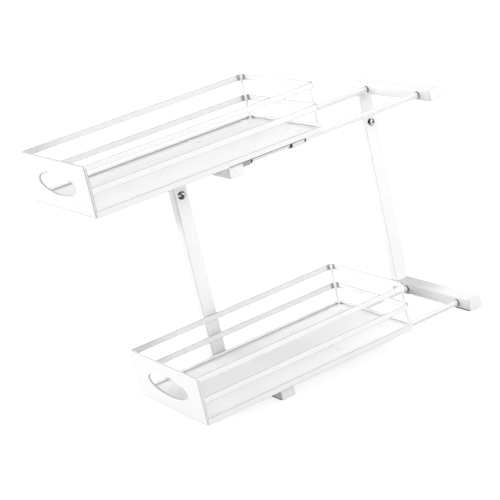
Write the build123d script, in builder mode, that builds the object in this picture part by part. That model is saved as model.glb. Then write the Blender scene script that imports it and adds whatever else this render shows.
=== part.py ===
from build123d import *
import os

# Two-tier pull-out organizer for the cupboard under a sink.
# Four flat crossbars and two posts make an open frame, with the posts on its left side.
# Round rails join the front crossbars to the rear ones, and a sheet-metal basket slides on each pair.
# Millimetres, +Z up. The baskets pull out towards -Y, and the origin is on the floor,
# under the middle of the box that the whole organizer fills as it stands here.
# At rest the upper basket is pulled out to its stop and the lower one a good third of its depth.

# Frame sizes
frame_depth = 408.0
frame_height = 380.0
tube_long_side = 25.4
tube_short_side = 19.0
tube_wall = 1.2
tube_corner_radius = 2.0
tube_inner_corner_share = 0.4

# Plastic plugs in the ends of the crossbars
cap_flange = 3.0
cap_plug_depth = 9.0
cap_plug_clearance = 0.1
cap_edge_share = 0.55

# Rubber feet under the lower crossbars
foot_length = 40.0
foot_width = 23.0
foot_thickness = 2.0
foot_end_inset = 5.5
foot_corner_share = 0.2
foot_edge_share = 0.35

# Inner tubes that plug the upper crossbars into the posts
spigot_length = 80.0
spigot_clearance = 0.15

# Bolts that clamp the posts to the inner tubes
bolt_drop = 54.0
bolt_diameter = 6.0
bolt_length = 12.0
bolt_head_diameter = 11.0
bolt_head_height = 3.8
bolt_hole_clearance = 0.2
bolt_socket_width = 4.0
socket_depth_share = 0.6
head_dome_share = 0.72
washer_diameter = 13.5
washer_thickness = 1.4
nut_width = 10.0
nut_thickness = 5.0
thread_clearance = 0.05

# Round rails, their end screws and the rubber rings that stop the baskets
rail_diameter = 10.0
left_rail_inset = 44.0
right_rail_inset = 33.0
rail_hole_clearance = 0.1
rail_thread_depth = 15.0
rail_screw_diameter = 5.0
rail_screw_length = 12.0
rail_screw_head_diameter = 9.5
rail_screw_head_height = 2.75
rail_screw_socket_width = 3.0
bumper_diameter = 11.4
bumper_thickness = 2.0
bumper_edge_share = 0.3

# Basket sizes
basket_length = 400.0
basket_width = 210.0
basket_height = 78.0
basket_post_gap = 2.0
basket_overhang = 17.0
basket_lift = 4.0
lower_pull_share = 0.614

# Bottom of a basket: a sheet tray inside a rim of flat bar
rim_height = 10.0
rim_thickness = 2.4
tray_floor_height = 4.0
tray_floor_thickness = 1.2

# Front panel with a hand hole
panel_thickness = 1.5
panel_top_radius = 3.0
panel_bottom_radius = 5.0
panel_edge_share = 0.42
panel_flange_depth = 2.5
panel_flange_top_gap = 4.0
hand_hole_width = 123.0
hand_hole_height = 34.5
hand_hole_height_share = 0.5

# Flat steel strips round the sides and back
strip_height = 10.0
strip_thickness = 2.0
strip_bend_radius = 9.0
bar_edge_share = 0.35
middle_strip_bottom = 34.0

# Round uprights in the rear corners
upright_diameter = 5.0
upright_top_gap = 1.0
upright_edge_share = 0.35

# Black bushings that run on the rails, and the straps that hold them under the tray
bushing_length = 30.0
bushing_wall = 1.5
bushing_running_gap = 0.1
rear_bushing_inset = 11.0
bushing_spacing_share = 0.25
stop_gap = 0.3
strap_length = 22.0
strap_thickness = 1.0
strap_gap = 0.05
strap_ear_width = 10.0
strap_ear_corner_share = 0.3
rivet_diameter = 4.0
rivet_head_diameter = 8.0
rivet_head_height = 1.5
rivet_tail_diameter = 5.6
rivet_tail_height = 1.6
rivet_hole_clearance = 0.1

# How far a cutting shape runs past the face that it leaves
overrun = 5.0

# Places worked out from the sizes above
basket_offset = tube_short_side + basket_post_gap
crossbar_length = basket_offset + basket_width - basket_overhang
bushing_spacing = basket_length * bushing_spacing_share
front_bushing_setback = basket_length - rear_bushing_inset - bushing_length - bushing_spacing
upper_basket_pull = front_bushing_setback - tube_long_side - bumper_thickness - stop_gap
lower_basket_pull = upper_basket_pull * lower_pull_share
overall_width = basket_offset + basket_width
overall_depth = upper_basket_pull + frame_depth + rail_screw_head_height
left_x = -overall_width / 2
front_y = upper_basket_pull - overall_depth / 2
rear_y = front_y + frame_depth
right_x = left_x + crossbar_length
front_bar_y = front_y + tube_long_side / 2
rear_bar_y = rear_y - tube_long_side / 2
lower_bar_z = foot_thickness + tube_short_side / 2
upper_bar_z = foot_thickness + frame_height - tube_short_side / 2
post_x = left_x + tube_short_side / 2
post_bottom_z = lower_bar_z + tube_short_side / 2
post_top_z = upper_bar_z - tube_short_side / 2
rail_xs = {"left": left_x + left_rail_inset, "right": right_x - right_rail_inset}
tier_zs = {"lower": lower_bar_z, "upper": upper_bar_z}
row_ys = {"front": front_bar_y, "rear": rear_bar_y}
basket_x = left_x + basket_offset + basket_width / 2
pulls = {"lower": lower_basket_pull, "upper": upper_basket_pull}
tube_inner_radius = tube_corner_radius * tube_inner_corner_share
rail_radius = rail_diameter / 2
bushing_radius = rail_radius + bushing_running_gap + bushing_wall
rim_bend_radius = strip_bend_radius + panel_thickness


def save(piece, label):
    """Name a finished piece and write it as a file of that name."""
    piece.part.label = label
    export_step(piece.part, f"parts/{label}.step")


def tube(end, long_side, short_side, wall, length):
    """A hollow rectangular tube that leaves a plane along its normal, its long side along the plane's X."""
    inner = (long_side - 2 * wall, short_side - 2 * wall)
    with BuildPart() as piece:
        with BuildSketch(end):
            RectangleRounded(long_side, short_side, tube_corner_radius)
            RectangleRounded(*inner, tube_inner_radius, mode=Mode.SUBTRACT)
        extrude(amount=length)
    return piece


def along_y(x, y, z, sign):
    """A plane through a point that faces forwards or back, with its X along the frame's X."""
    return Plane(origin=(x, y, z), x_dir=(1, 0, 0), z_dir=(0, sign, 0))


def crossbar(y, z, outward):
    """A crossbar: rails enter through its inner wall and are screwed to its outer wall."""
    end = Plane(origin=(left_x + cap_flange, y, z), x_dir=(0, 1, 0), z_dir=(1, 0, 0))
    profile = tube(end, tube_long_side, tube_short_side, tube_wall, crossbar_length - 2 * cap_flange)
    places = [(x, 0) for x in rail_xs.values()]
    with BuildPart() as piece:
        add(profile.part)
        with BuildSketch(along_y(0, y, z, -outward)):
            with Locations(*places):
                Circle(rail_radius + rail_hole_clearance)
        extrude(amount=tube_long_side / 2 + overrun, mode=Mode.SUBTRACT)
        with BuildSketch(along_y(0, y, z, outward)):
            with Locations(*places):
                Circle(rail_screw_diameter / 2 + bolt_hole_clearance)
        extrude(amount=tube_long_side / 2 + overrun, mode=Mode.SUBTRACT)
    return piece


def end_cap(x, y, z, outward):
    """A plastic plug: a flange with softened edges outside the tube and a plug inside it."""
    inset = tube_wall + cap_plug_clearance
    plug = (tube_long_side - 2 * inset, tube_short_side - 2 * inset)
    seat = Plane(origin=(x, y, z), x_dir=(0, outward, 0), z_dir=(outward, 0, 0))
    with BuildPart() as piece:
        with BuildSketch(seat):
            RectangleRounded(tube_long_side, tube_short_side, tube_corner_radius)
        extrude(amount=cap_flange)
        outer_face = piece.faces().sort_by(Axis((0, 0, 0), (outward, 0, 0)))[-1]
        fillet(outer_face.edges(), cap_flange * cap_edge_share)
        with BuildSketch(seat):
            RectangleRounded(*plug, tube_inner_radius)
        extrude(amount=-cap_plug_depth)
    return piece


def foot(x, y):
    """A thin rubber pad under a lower crossbar."""
    with BuildPart() as piece:
        with BuildSketch(Plane((x, y, 0))):
            RectangleRounded(foot_length, foot_width, foot_width * foot_corner_share)
        extrude(amount=foot_thickness)
        fillet(piece.faces().sort_by(Axis.Z)[0].edges(), foot_thickness * foot_edge_share)
    return piece


def post_face(y, inset):
    """A plane that faces right on the bolt's axis, a given distance inside the post's right face."""
    x = post_x + tube_short_side / 2 - inset
    return Plane(origin=(x, y, post_top_z - bolt_drop), x_dir=(0, 1, 0), z_dir=(1, 0, 0))


def post(y):
    """An upright tube on the left end of a lower crossbar, with a bolt hole in its right wall."""
    upright = Plane(origin=(post_x, y, post_bottom_z), x_dir=(0, 1, 0), z_dir=(0, 0, 1))
    profile = tube(upright, tube_long_side, tube_short_side, tube_wall, post_top_z - post_bottom_z)
    with BuildPart() as piece:
        add(profile.part)
        with BuildSketch(post_face(y, tube_short_side / 2)):
            Circle(bolt_diameter / 2 + bolt_hole_clearance)
        extrude(amount=tube_short_side / 2 + overrun, mode=Mode.SUBTRACT)
    return piece


def spigot(y):
    """The inner tube under the left end of an upper crossbar, which slides down into the post."""
    inset = tube_wall + spigot_clearance
    upright = Plane(origin=(post_x, y, post_top_z - spigot_length), x_dir=(0, 1, 0), z_dir=(0, 0, 1))
    profile = tube(upright, tube_long_side - 2 * inset, tube_short_side - 2 * inset, tube_wall, spigot_length)
    with BuildPart() as piece:
        add(profile.part)
        with BuildSketch(post_face(y, tube_short_side / 2)):
            Circle(bolt_diameter / 2 + bolt_hole_clearance)
        extrude(amount=tube_short_side / 2 + overrun, mode=Mode.SUBTRACT)
    return piece


def button_screw(seat, diameter, length, head_diameter, head_height, socket):
    """A domed socket screw whose head stands on the seat plane and whose shank goes down into it."""
    normal = Axis(seat.origin, seat.z_dir)
    with BuildPart() as piece:
        with BuildSketch(seat):
            Circle(head_diameter / 2)
        extrude(amount=head_height)
        fillet(piece.edges().sort_by(normal)[-1], head_height * head_dome_share)
        with BuildSketch(seat.offset(head_height)):
            RegularPolygon(socket / 2, 6, major_radius=False)
        extrude(amount=-head_height * socket_depth_share, mode=Mode.SUBTRACT)
        with BuildSketch(seat):
            Circle(diameter / 2)
        extrude(amount=-length)
    return piece


def ring(seat, outer_diameter, inner_diameter, thickness):
    """A flat ring that stands on the seat plane."""
    with BuildPart() as piece:
        with BuildSketch(seat):
            Circle(outer_diameter / 2)
            Circle(inner_diameter / 2, mode=Mode.SUBTRACT)
        extrude(amount=thickness)
    return piece


def group(pieces):
    """Several equal small pieces kept together as separate solids."""
    with BuildPart() as together:
        for piece in pieces:
            add(piece.part)
    return together


def nut(y):
    """A hexagon nut against the inner tube's right wall."""
    with BuildPart() as piece:
        with BuildSketch(post_face(y, 2 * tube_wall + spigot_clearance)):
            RegularPolygon(nut_width / 2, 6, major_radius=False)
            Circle(bolt_diameter / 2 + thread_clearance, mode=Mode.SUBTRACT)
        extrude(amount=-nut_thickness)
    return piece


def rail(x, z):
    """A round rail between the outer walls of two crossbars, tapped at both ends."""
    start = along_y(x, front_y + tube_wall, z, 1)
    length = frame_depth - 2 * tube_wall
    with BuildPart() as piece:
        with BuildSketch(start):
            Circle(rail_radius)
        extrude(amount=length)
        for end in (start, along_y(x, front_y + tube_wall + length, z, -1)):
            with BuildSketch(end):
                Circle(rail_screw_diameter / 2 + thread_clearance)
            extrude(amount=rail_thread_depth, mode=Mode.SUBTRACT)
    return piece


def bumper(x, y, z, inward):
    """A rubber ring on a rail, against the inner face of a crossbar."""
    seat = along_y(x, y + inward * tube_long_side / 2, z, inward)
    bore = rail_diameter + 2 * thread_clearance
    blank = ring(seat, bumper_diameter, bore, bumper_thickness)
    with BuildPart() as piece:
        add(blank.part)
        free_face = piece.faces().sort_by(Axis((0, 0, 0), (0, inward, 0)))[-1]
        rim = free_face.edges().sort_by(SortBy.LENGTH)[-1]
        fillet(rim, bumper_thickness * bumper_edge_share)
    return piece


def rivet_places(basket_y):
    """The places of a basket's rivets: one each side of every strap."""
    reach = bushing_radius + strap_gap + strap_thickness + strap_ear_width / 2
    xs = [rail_x + side * reach for rail_x in rail_xs.values() for side in (-1, 1)]
    return [(x, y) for x in xs for y in bushing_ys(basket_y)]


def bushing_ys(basket_y):
    """The middles of a basket's front and rear bushings along the rails."""
    rear = basket_y + basket_length - rear_bushing_inset - bushing_length / 2
    return (rear - bushing_spacing, rear)


def tray(basket_y, bottom_z):
    """The sheet floor of a basket, which fills the rim and has a hole for every rivet."""
    width = basket_width - 2 * rim_thickness
    length = basket_length - panel_thickness - rim_thickness
    middle = (basket_x, basket_y + panel_thickness + length / 2, bottom_z + tray_floor_height)
    with BuildPart() as piece:
        with BuildSketch(Plane(middle)) as outline:
            Rectangle(width, length)
            fillet(outline.vertices().group_by(Axis.Y)[-1], rim_bend_radius - rim_thickness)
            with Locations(*[(x - middle[0], y - middle[1]) for x, y in rivet_places(basket_y)]):
                Circle(rivet_diameter / 2 + rivet_hole_clearance, mode=Mode.SUBTRACT)
        extrude(amount=tray_floor_thickness)
    return piece


def front_panel(basket_y, bottom_z):
    """The upright front: a rounded plate with an oval hand hole and a folded flange down each side."""
    face = along_y(basket_x, basket_y, bottom_z + basket_height / 2, -1)
    flange_foot = (basket_x, basket_y + panel_thickness + panel_flange_depth / 2, bottom_z + rim_height)
    with BuildPart() as piece:
        with BuildSketch(face) as outline:
            Rectangle(basket_width, basket_height)
            fillet(outline.vertices().group_by(Axis.Y)[-1], panel_top_radius)
            fillet(outline.vertices().group_by(Axis.Y)[0], panel_bottom_radius)
            with Locations((0, basket_height * (hand_hole_height_share - 1 / 2))):
                Ellipse(hand_hole_width / 2, hand_hole_height / 2, mode=Mode.SUBTRACT)
        extrude(amount=-panel_thickness)
        with BuildSketch(Plane(flange_foot)):
            with GridLocations(basket_width - panel_thickness, 0, 2, 1):
                Rectangle(panel_thickness, panel_flange_depth)
        extrude(amount=basket_height - panel_flange_top_gap - rim_height)
        front_edges = piece.faces().sort_by(Axis.Y)[0].edges()
        fillet(front_edges, panel_thickness * panel_edge_share)
    return piece


def bent_bar(basket_y, bottom_z, height, thickness, inset, bend_radius):
    """A flat steel bar bent round the left side, the back and the right side of a basket."""
    width = basket_width - 2 * inset
    length = basket_length - panel_thickness - inset
    middle_y = basket_y + panel_thickness + length / 2
    with BuildPart() as piece:
        with BuildSketch(Plane((basket_x, middle_y, bottom_z))) as outside:
            Rectangle(width, length)
            fillet(outside.vertices().group_by(Axis.Y)[-1], bend_radius)
        extrude(amount=height)
        with BuildSketch(Plane((basket_x, middle_y - thickness, bottom_z))) as inside:
            Rectangle(width - 2 * thickness, length)
            fillet(inside.vertices().group_by(Axis.Y)[-1], bend_radius - thickness)
        extrude(amount=height, mode=Mode.SUBTRACT)
        top_and_bottom = piece.faces().filter_by(Plane.XY)
        fillet(top_and_bottom.edges(), thickness * bar_edge_share)
    return piece


def rim(basket_y, bottom_z):
    """The lowest bar, flush with the panel's flanges, which holds the tray."""
    return bent_bar(basket_y, bottom_z, rim_height, rim_thickness, 0, rim_bend_radius)


def strip(basket_y, strip_z):
    """A bar above the rim, whose ends lie inside the panel's flanges."""
    return bent_bar(basket_y, strip_z, strip_height, strip_thickness, panel_thickness, strip_bend_radius)


def corner_upright(basket_y, bottom_z, side):
    """A round upright on the tray's floor, nested in the strips' bend at a rear corner."""
    radius = upright_diameter / 2
    bend_inset = panel_thickness + strip_bend_radius
    nest = (strip_bend_radius - strip_thickness - radius) / 2 ** 0.5
    x = basket_x + side * (basket_width / 2 - bend_inset + nest)
    y = basket_y + basket_length - bend_inset + nest
    foot_z = bottom_z + tray_floor_height + tray_floor_thickness
    with BuildPart() as piece:
        with BuildSketch(Plane((x, y, foot_z))):
            Circle(radius)
        extrude(amount=bottom_z + basket_height - upright_top_gap - foot_z)
        fillet(piece.edges().sort_by(Axis.Z)[-1], radius * upright_edge_share)
    return piece


def bushing(x, y, rail_z, top_z):
    """A plastic block with a round bottom, bored to run on its rail, that reaches up to the tray."""
    with BuildPart() as piece:
        with BuildSketch(along_y(x, y - bushing_length / 2, rail_z, -1)):
            Circle(bushing_radius)
            with Locations((0, (top_z - rail_z) / 2)):
                Rectangle(2 * bushing_radius, top_z - rail_z)
            Circle(rail_radius + bushing_running_gap, mode=Mode.SUBTRACT)
        extrude(amount=-bushing_length)
    return piece


def strap(x, y, rail_z, top_z):
    """A steel strap under a bushing: a U round its bottom, with an ear each side under the tray's floor."""
    inner = bushing_radius + strap_gap
    outer = inner + strap_thickness
    height = top_z - rail_z
    with BuildPart() as piece:
        with BuildSketch(along_y(x, y - strap_length / 2, rail_z, -1)):
            Circle(outer)
            with Locations((0, height / 2)):
                Rectangle(2 * outer, height)
            with Locations((0, height - strap_thickness / 2)):
                Rectangle(2 * (outer + strap_ear_width), strap_thickness)
            Circle(inner, mode=Mode.SUBTRACT)
            with Locations((0, height / 2)):
                Rectangle(2 * inner, height, mode=Mode.SUBTRACT)
        extrude(amount=-strap_length)
        ear_corners = piece.edges().filter_by(Axis.Z).group_by(Axis.X)
        fillet(ear_corners[0] + ear_corners[-1], strap_ear_width * strap_ear_corner_share)
        with BuildSketch(Plane((x, y, top_z))):
            with GridLocations(2 * outer + strap_ear_width, 0, 2, 1):
                Circle(rivet_diameter / 2 + rivet_hole_clearance)
        extrude(amount=-strap_thickness, mode=Mode.SUBTRACT)
    return piece


def rivet(x, y, floor_top_z):
    """A blind rivet: a domed head on the tray's floor, a shank, and a swollen tail under the strap's ear."""
    grip = tray_floor_thickness + strap_thickness
    with BuildPart() as piece:
        with BuildSketch(Plane((x, y, floor_top_z))):
            Circle(rivet_head_diameter / 2)
        extrude(amount=rivet_head_height)
        fillet(piece.edges().sort_by(Axis.Z)[-1], rivet_head_height * head_dome_share)
        with BuildSketch(Plane((x, y, floor_top_z))):
            Circle(rivet_diameter / 2)
        extrude(amount=-grip)
        with BuildSketch(Plane((x, y, floor_top_z - grip))):
            Circle(rivet_tail_diameter / 2)
        extrude(amount=-rivet_tail_height)
    return piece


os.makedirs("parts", exist_ok=True)

# Crossbars with their end plugs and rails
for tier, bar_z in tier_zs.items():
    for row, bar_y in row_ys.items():
        outward = 1 if row == "rear" else -1
        save(crossbar(bar_y, bar_z, outward), f"{tier}_{row}_crossbar")
        save(end_cap(left_x + cap_flange, bar_y, bar_z, -1), f"{tier}_{row}_left_cap")
        save(end_cap(right_x - cap_flange, bar_y, bar_z, 1), f"{tier}_{row}_right_cap")
    for side, rail_x in rail_xs.items():
        save(rail(rail_x, bar_z), f"{tier}_{side}_rail")

# Posts and the inner tubes of the upper crossbars
for row, bar_y in row_ys.items():
    save(post(bar_y), f"{row}_post")
    save(spigot(bar_y), f"{row}_spigot")

# Rubber feet near both ends of the lower crossbars
foot_reach = foot_end_inset + foot_length / 2
foot_xs = (left_x + foot_reach, right_x - foot_reach)
save(group([foot(x, bar_y) for bar_y in row_ys.values() for x in foot_xs]), "rubber_feet")

# Fasteners of the frame, each kind kept together
bolts = []
washers = []
nuts = []
washer_bore = bolt_diameter + 2 * bolt_hole_clearance
for bar_y in row_ys.values():
    washers.append(ring(post_face(bar_y, 0), washer_diameter, washer_bore, washer_thickness))
    head_seat = post_face(bar_y, -washer_thickness)
    bolts.append(button_screw(head_seat, bolt_diameter, bolt_length,
                              bolt_head_diameter, bolt_head_height, bolt_socket_width))
    nuts.append(nut(bar_y))
save(group(bolts), "post_bolts")
save(group(washers), "post_washers")
save(group(nuts), "post_nuts")

rail_screws = []
bumpers = []
for bar_z in tier_zs.values():
    for rail_x in rail_xs.values():
        for bar_y, outward in ((front_bar_y, -1), (rear_bar_y, 1)):
            seat = along_y(rail_x, bar_y + outward * tube_long_side / 2, bar_z, outward)
            rail_screws.append(button_screw(seat, rail_screw_diameter, rail_screw_length,
                                            rail_screw_head_diameter, rail_screw_head_height,
                                            rail_screw_socket_width))
            bumpers.append(bumper(rail_x, bar_y, bar_z, -outward))
save(group(rail_screws), "rail_screws")
save(group(bumpers), "rail_bumpers")

# Baskets with their bushings and straps
for tier, bar_z in tier_zs.items():
    basket_y = front_y - pulls[tier]
    bottom_z = bar_z + tube_short_side / 2 + basket_lift
    floor_z = bottom_z + tray_floor_height
    save(rim(basket_y, bottom_z), f"{tier}_rim")
    save(tray(basket_y, bottom_z), f"{tier}_tray")
    save(front_panel(basket_y, bottom_z), f"{tier}_front_panel")
    save(strip(basket_y, bottom_z + basket_height - strip_height), f"{tier}_top_strip")
    save(strip(basket_y, bottom_z + middle_strip_bottom), f"{tier}_middle_strip")
    save(corner_upright(basket_y, bottom_z, -1), f"{tier}_left_upright")
    save(corner_upright(basket_y, bottom_z, 1), f"{tier}_right_upright")
    for side, rail_x in rail_xs.items():
        for row, bushing_y in zip(row_ys, bushing_ys(basket_y)):
            save(bushing(rail_x, bushing_y, bar_z, floor_z), f"{tier}_{side}_{row}_bushing")
            save(strap(rail_x, bushing_y, bar_z, floor_z), f"{tier}_{side}_{row}_strap")
    rivets = [rivet(x, y, floor_z + tray_floor_thickness) for x, y in rivet_places(basket_y)]
    save(group(rivets), f"{tier}_rivets")
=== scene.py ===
"""Looks of a two-tier under sink organizer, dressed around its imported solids. Metres, +Z up."""

import logging
import math
from dataclasses import dataclass, field
from enum import Enum

import bmesh
import bpy
import numpy as np
from mathutils import Matrix, Vector


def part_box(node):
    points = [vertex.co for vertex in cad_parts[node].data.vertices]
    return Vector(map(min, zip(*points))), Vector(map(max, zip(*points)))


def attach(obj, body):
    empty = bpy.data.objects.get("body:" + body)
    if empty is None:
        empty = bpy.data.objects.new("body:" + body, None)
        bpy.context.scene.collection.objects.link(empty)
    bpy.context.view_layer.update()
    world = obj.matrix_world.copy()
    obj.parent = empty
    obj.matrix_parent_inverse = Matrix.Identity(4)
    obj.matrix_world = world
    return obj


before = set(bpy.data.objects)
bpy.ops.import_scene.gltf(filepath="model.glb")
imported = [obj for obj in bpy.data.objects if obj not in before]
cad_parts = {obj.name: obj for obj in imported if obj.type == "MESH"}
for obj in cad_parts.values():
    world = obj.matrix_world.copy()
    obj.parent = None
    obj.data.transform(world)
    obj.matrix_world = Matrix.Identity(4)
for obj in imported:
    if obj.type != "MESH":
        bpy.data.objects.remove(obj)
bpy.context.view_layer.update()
LOG = logging.getLogger("organizer")

Triple = tuple[float, float, float]
Span = tuple[float, float]

BLACK: Triple = (0.0, 0.0, 0.0)
COAT_WARMTH = 0.005
MERGE_DISTANCE = 1e-6


class Body(Enum):
    """The bodies that pieces ride on."""

    FRAME = "frame"
    UPPER = "upper_basket"
    LOWER = "lower_basket"


class Slot(Enum):
    """The record's material slots."""

    FRAME_STEEL = "frame_steel"
    RAIL_STEEL = "rail_steel"
    BASKET_STEEL = "basket_steel"
    CAP_PLASTIC = "cap_plastic"
    BUSHING_PLASTIC = "bushing_plastic"
    STOP_RUBBER = "stop_rubber"
    FASTENER_STEEL = "fastener_steel"


class EdgeKind(Enum):
    """Which edges of a piece show grey."""

    ALL = "all edges of a box"
    LEVEL = "the upper and lower edge of a band"


class Value:
    """A number that varies over a surface, with arithmetic that adds Math nodes."""

    def __init__(self, graph: "Graph", socket: bpy.types.NodeSocket) -> None:
        """Wrap an output socket of a graph."""
        self.graph = graph
        self.socket = socket

    def _math(self, operation: str, first: "Value | float", second: "Value | float" = 0.0) -> "Value":
        """Add one Math node for two values and wrap its result."""
        node = self.graph.node("ShaderNodeMath", {"operation": operation}, {0: first, 1: second})
        return Value(self.graph, node.outputs[0])

    def __add__(self, other: "Value | float") -> "Value":
        """Self plus other, in either order."""
        return self._math("ADD", self, other)

    __radd__ = __add__

    def __sub__(self, other: "Value | float") -> "Value":
        """Self minus other."""
        return self._math("SUBTRACT", self, other)

    def __rsub__(self, other: "Value | float") -> "Value":
        """Other minus self."""
        return self._math("SUBTRACT", other, self)

    def __mul__(self, other: "Value | float") -> "Value":
        """Self times other, in either order."""
        return self._math("MULTIPLY", self, other)

    __rmul__ = __mul__

    def __abs__(self) -> "Value":
        """Self without its sign."""
        return self._math("ABSOLUTE", self)

    def larger(self, other: "Value | float") -> "Value":
        """The larger of self and other."""
        return self._math("MAXIMUM", self, other)

    def ramp(self, start: float, end: float) -> "Value":
        """A soft mask that goes from 0 where self is start to 1 where it is end.

        Args:
            start: the value at which the mask is 0.
            end: the value at which the mask is 1, which may be the lower of the two.

        Returns:
            The mask.
        """
        flip = start > end
        low, high = (end, start) if flip else (start, end)
        inputs = {"Value": self, "From Min": low, "From Max": high}
        node = self.graph.node("ShaderNodeMapRange", {"interpolation_type": "SMOOTHSTEP"}, inputs)
        mask = Value(self.graph, node.outputs["Result"])
        return 1.0 - mask if flip else mask


class Graph:
    """A node tree, with the one method that adds nodes to it."""

    def __init__(self, tree: bpy.types.NodeTree) -> None:
        """Take over an emptied tree."""
        self.tree = tree
        self.tree.nodes.clear()

    def node(self, kind: str, settings: dict | None = None, inputs: dict | None = None) -> bpy.types.Node:
        """Add any node.

        Args:
            kind: the node's type name.
            settings: properties that are set first.
            inputs: a value, a wrapped value or a socket for each input.

        Returns:
            The new node.
        """
        node = self.tree.nodes.new(kind)
        for key, setting in (settings or {}).items():
            setattr(node, key, setting)
        for key, value in (inputs or {}).items():
            self.feed(node.inputs[key], value)
        return node

    def feed(self, socket: bpy.types.NodeSocket, value: object) -> None:
        """Link or set one input.

        Args:
            socket: the input.
            value: a wrapped value, an output socket, or a constant.
        """
        value = value.socket if isinstance(value, Value) else value
        if isinstance(value, bpy.types.NodeSocket):
            self.tree.links.new(value, socket)
        else:
            socket.default_value = value

    def in_view(self) -> Value:
        """A mask for what is seen.

        Returns:
            1 for a ray from the eye, off a glossy surface or through a clear one, and 0 for soft light.
        """
        path = self.node("ShaderNodeLightPath")
        kinds = ("Camera", "Glossy", "Transmission")
        eye, mirror, clear = (Value(self, path.outputs[f"Is {kind} Ray"]) for kind in kinds)
        return eye.larger(mirror).larger(clear)


class SurfaceGraph(Graph):
    """The node tree of one material, read in the object's own coordinates."""

    def __init__(self, name: str) -> None:
        """Start a material with a surface shader.

        Args:
            name: the material's name.
        """
        self.material = bpy.data.materials.new(name)
        self.material.use_nodes = True
        super().__init__(self.material.node_tree)
        self.surface = self.node("ShaderNodeBsdfPrincipled")
        self.output = self.node("ShaderNodeOutputMaterial", inputs={"Surface": self.surface.outputs[0]})
        self.point = self.node("ShaderNodeTexCoord").outputs["Object"]
        split = self.node("ShaderNodeSeparateXYZ", inputs={0: self.point})
        self.axes = [Value(self, output) for output in split.outputs]

    def noise(self, cell: float, detail: float = 2.0, stretch: Triple = (1.0, 1.0, 1.0)) -> Value:
        """Smooth noise between 0 and 1.

        Args:
            cell: the size of its largest cells, in metres.
            detail: how many finer layers are added.
            stretch: how much each axis is scaled before the noise reads it.

        Returns:
            The noise.
        """
        place = self.node("ShaderNodeMapping", inputs={"Vector": self.point, "Scale": stretch})
        inputs = {"Vector": place.outputs[0], "Scale": 1.0 / cell, "Detail": detail}
        return Value(self, self.node("ShaderNodeTexNoise", inputs=inputs).outputs["Fac"])

    def blend(self, mask: Value, low: Triple, high: Triple) -> bpy.types.NodeSocket:
        """A colour between two by a mask.

        Args:
            mask: 0 for the low colour, 1 for the high one.
            low: the first colour.
            high: the second colour.

        Returns:
            The colour socket.
        """
        settings = {"data_type": "RGBA", "clamp_factor": True}
        return self.node("ShaderNodeMix", settings, {0: mask, 6: (*low, 1.0), 7: (*high, 1.0)}).outputs[2]

    def cover(self, colour: bpy.types.NodeSocket, roughness: Value | float) -> None:
        """Give the surface its colour and its roughness."""
        self.feed(self.surface.inputs["Base Color"], colour)
        self.feed(self.surface.inputs["Roughness"], roughness)

    def relief(self, height: Value, depth: float, strength: float) -> None:
        """Give the surface a fine relief.

        Args:
            height: the relief between 0 and 1.
            depth: its real depth in metres.
            strength: how much of it is kept.
        """
        bump = self.node("ShaderNodeBump", inputs={"Height": height, "Distance": depth, "Strength": strength})
        self.feed(self.surface.inputs["Normal"], bump.outputs["Normal"])


def tinted(colour: Triple, factor: float) -> Triple:
    """A colour with each channel multiplied by a factor and kept at 1 or less."""
    return tuple(min(1.0, channel * factor) for channel in colour)


def warm_white(level: float) -> Triple:
    """A faintly warm white or grey: red and green at the level, and blue a little under it."""
    return (level, level, level - COAT_WARMTH)


def middle_of(name: str) -> Triple:
    """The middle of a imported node's box."""
    low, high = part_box(name)
    return tuple((a + b) / 2 for a, b in zip(low, high))


def bearing(azimuth: float, elevation: float) -> Vector:
    """The direction at an azimuth and an elevation in degrees: azimuth 0 is the front, and 90 the right."""
    a, e = math.radians(azimuth), math.radians(elevation)
    return Vector((math.sin(a) * math.cos(e), -math.cos(a) * math.cos(e), math.sin(e)))


def put(name: str, data: bpy.types.ID) -> bpy.types.Object:
    """Put a new object into the scene.

    Args:
        name: its name.
        data: its mesh, lamp or camera.

    Returns:
        The object.
    """
    thing = bpy.data.objects.new(name, data)
    bpy.context.scene.collection.objects.link(thing)
    return thing


@dataclass(frozen=True)
class PaintedShade:
    """Painted shade: a box with soft sides inside which the coat is darkened, standing in for shade in
    corners, creases and under parts.
    """

    centre: Triple
    reach: Triple
    blur: Triple
    share: float

    def mask(self, graph: SurfaceGraph) -> Value:
        """How much darker the coat is: the share inside the box, and 0 past its soft sides.

        Args:
            graph: the coat's nodes.

        Returns:
            The mask.
        """
        mask = None
        for axis, middle, reach, blur in zip(graph.axes, self.centre, self.reach, self.blur):
            inside = abs(axis - middle).ramp(reach + blur, reach)
            mask = inside if mask is None else mask * inside
        return mask * self.share


@dataclass(frozen=True)
class PaintedEdgeShade:
    """Painted grey shade along the sharp edges of a piece that fills a box."""

    low: Triple
    high: Triple
    kind: EdgeKind = EdgeKind.ALL
    share: float = 0.40
    width: float = 0.0016

    def mask(self, graph: SurfaceGraph) -> Value:
        """How much greyer the coat is: the share along the edges, and 0 a width away from them.

        Nearness to a side of the box rises from 0 to 1 over the width. At an edge two axes are near their
        sides, so the mask is the largest product of two nearnesses.

        Args:
            graph: the coat's nodes.

        Returns:
            The mask.
        """
        near = []
        for axis, low, high in zip(graph.axes, self.low, self.high):
            half = (high - low) / 2
            near.append(abs(axis - (low + high) / 2).ramp(half - self.width, half))
        if self.kind is EdgeKind.LEVEL:
            return near[2] * self.share
        x, y, z = near
        return (x * y).larger(y * z).larger(x * z) * self.share


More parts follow.
